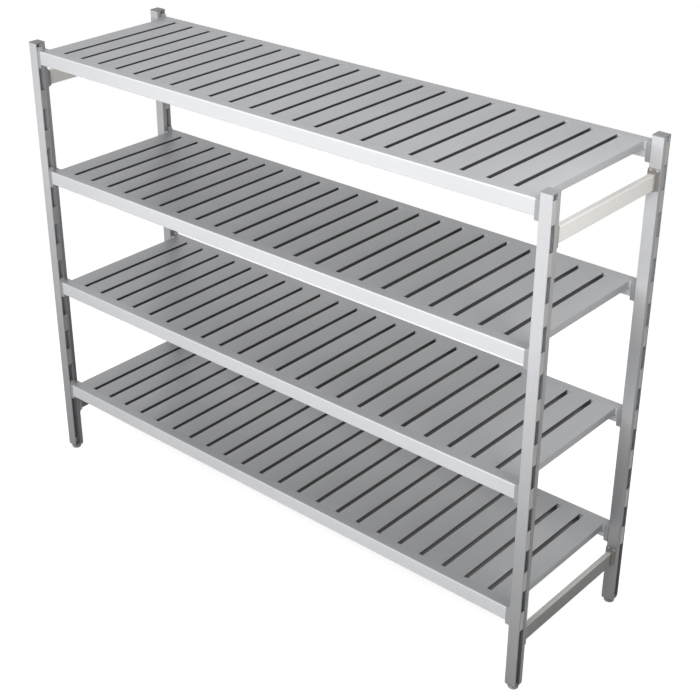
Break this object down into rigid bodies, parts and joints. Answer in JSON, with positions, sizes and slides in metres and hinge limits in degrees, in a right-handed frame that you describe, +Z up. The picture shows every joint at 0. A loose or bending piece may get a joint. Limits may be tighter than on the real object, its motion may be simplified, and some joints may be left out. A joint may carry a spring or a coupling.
{
  "type": "cold room shelving unit",
  "caption": "Free-standing aluminium cold room shelving unit with slatted tiers hooked into windowed posts, braced end frames and levelling feet.",
  "frame": {"origin": "on the floor, under the centre of the unit", "axes": "+Z up, X along the tiers, +Y towards the rear"},
  "size_m": [2.18, 0.615, 1.68],
  "materials": {
    "anodised_extrusion": "satin natural anodised",
    "slat_extrusion": "satin natural anodised",
    "stainless_steel": "rolled",
    "cast_connector": "grit-blasted die casting",
    "grey_moulding": "moulded",
    "foot_moulding": "moulded pad on a stud"
  },
  "bodies": {
    "frame": {"post_front_left": "anodised_extrusion", "rack_strip_front_left_inner": "stainless_steel", "rack_strip_front_left_outer": "stainless_steel", "post_cap_front_left": "grey_moulding", "foot_block_front_left": "grey_moulding", "post_rear_left": "anodised_extrusion", "rack_strip_rear_left_inner": "stainless_steel", "rack_strip_rear_left_outer": "stainless_steel", "post_cap_rear_left": "grey_moulding", "foot_block_rear_left": "grey_moulding", "crossbar_left_bottom": "anodised_extrusion", "crossbar_brackets_left_bottom": "cast_connector", "crossbar_left_top": "anodised_extrusion", "crossbar_brackets_left_top": "cast_connector", "post_front_right": "anodised_extrusion", "rack_strip_front_right_inner": "stainless_steel", "rack_strip_front_right_outer": "stainless_steel", "post_cap_front_right": "grey_moulding", "foot_block_front_right": "grey_moulding", "post_rear_right": "anodised_extrusion", "rack_strip_rear_right_inner": "stainless_steel", "rack_strip_rear_right_outer": "stainless_steel", "post_cap_rear_right": "grey_moulding", "foot_block_rear_right": "grey_moulding", "crossbar_right_bottom": "anodised_extrusion", "crossbar_brackets_right_bottom": "cast_connector", "crossbar_right_top": "anodised_extrusion", "crossbar_brackets_right_top": "cast_connector"},
    "foot_front_left": {"levelling_foot_front_left": "foot_moulding"},
    "foot_rear_left": {"levelling_foot_rear_left": "foot_moulding"},
    "foot_front_right": {"levelling_foot_front_right": "foot_moulding"},
    "foot_rear_right": {"levelling_foot_rear_right": "foot_moulding"},
    "tier1": {"tier1_front_rail": "anodised_extrusion", "tier1_front_hooks": "cast_connector", "tier1_rear_rail": "anodised_extrusion", "tier1_rear_hooks": "cast_connector", "tier1_slats": "slat_extrusion"},
    "tier2": {"tier2_front_rail": "anodised_extrusion", "tier2_front_hooks": "cast_connector", "tier2_rear_rail": "anodised_extrusion", "tier2_rear_hooks": "cast_connector", "tier2_slats": "slat_extrusion"},
    "tier3": {"tier3_front_rail": "anodised_extrusion", "tier3_front_hooks": "cast_connector", "tier3_rear_rail": "anodised_extrusion", "tier3_rear_hooks": "cast_connector", "tier3_slats": "slat_extrusion"},
    "tier4": {"tier4_front_rail": "anodised_extrusion", "tier4_front_hooks": "cast_connector", "tier4_rear_rail": "anodised_extrusion", "tier4_rear_hooks": "cast_connector", "tier4_slats": "slat_extrusion"}
  },
  "joints": [
    {"name": "foot_height_front_left", "type": "slide", "parent": "frame", "child": "foot_front_left", "axis": [0, 0, -1], "range_m": [0, 0.01]},
    {"name": "foot_height_rear_left", "type": "slide", "parent": "frame", "child": "foot_rear_left", "axis": [0, 0, -1], "range_m": [0, 0.01]},
    {"name": "foot_height_front_right", "type": "slide", "parent": "frame", "child": "foot_front_right", "axis": [0, 0, -1], "range_m": [0, 0.01]},
    {"name": "foot_height_rear_right", "type": "slide", "parent": "frame", "child": "foot_rear_right", "axis": [0, 0, -1], "range_m": [0, 0.01]},
    {"name": "tier1_lift_off", "type": "slide", "parent": "frame", "child": "tier1", "axis": [0, 0, 1], "range_m": [0, 0.025]},
    {"name": "tier2_lift_off", "type": "slide", "parent": "frame", "child": "tier2", "axis": [0, 0, 1], "range_m": [0, 0.025]},
    {"name": "tier3_lift_off", "type": "slide", "parent": "frame", "child": "tier3", "axis": [0, 0, 1], "range_m": [0, 0.025]},
    {"name": "tier4_lift_off", "type": "slide", "parent": "frame", "child": "tier4", "axis": [0, 0, 1], "range_m": [0, 0.01]}
  ]
}
